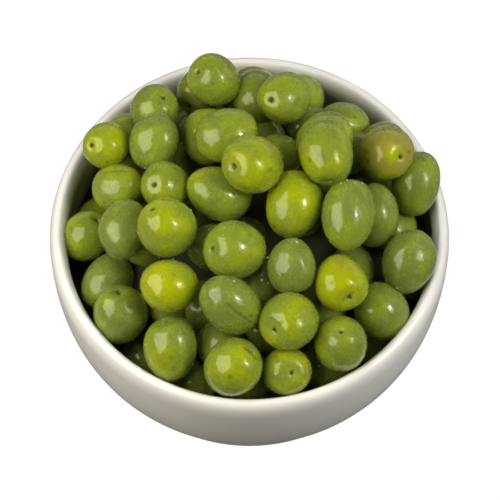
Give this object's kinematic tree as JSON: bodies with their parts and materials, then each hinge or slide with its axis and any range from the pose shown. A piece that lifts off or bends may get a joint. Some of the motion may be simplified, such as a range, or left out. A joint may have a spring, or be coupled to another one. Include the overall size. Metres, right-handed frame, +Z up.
{
  "type": "dish of olives",
  "caption": "A round cream glazed bowl on a low foot ring, heaped above its rim with whole wet green olives of uneven size and tint.",
  "frame": {"origin": "the middle of the foot ring's flat underside, on the table", "axes": "+Z up, +Y to the back of the dish as it is looked at, +X to its right"},
  "size_m": [0.152, 0.152, 0.1095],
  "materials": {
    "glaze": "glossy cream glaze on stoneware",
    "olive_skin": "wet, glossy green olive skin"
  },
  "bodies": {
    "root": {"bowl": "glaze", "olives": "olive_skin"}
  },
  "joints": []
}
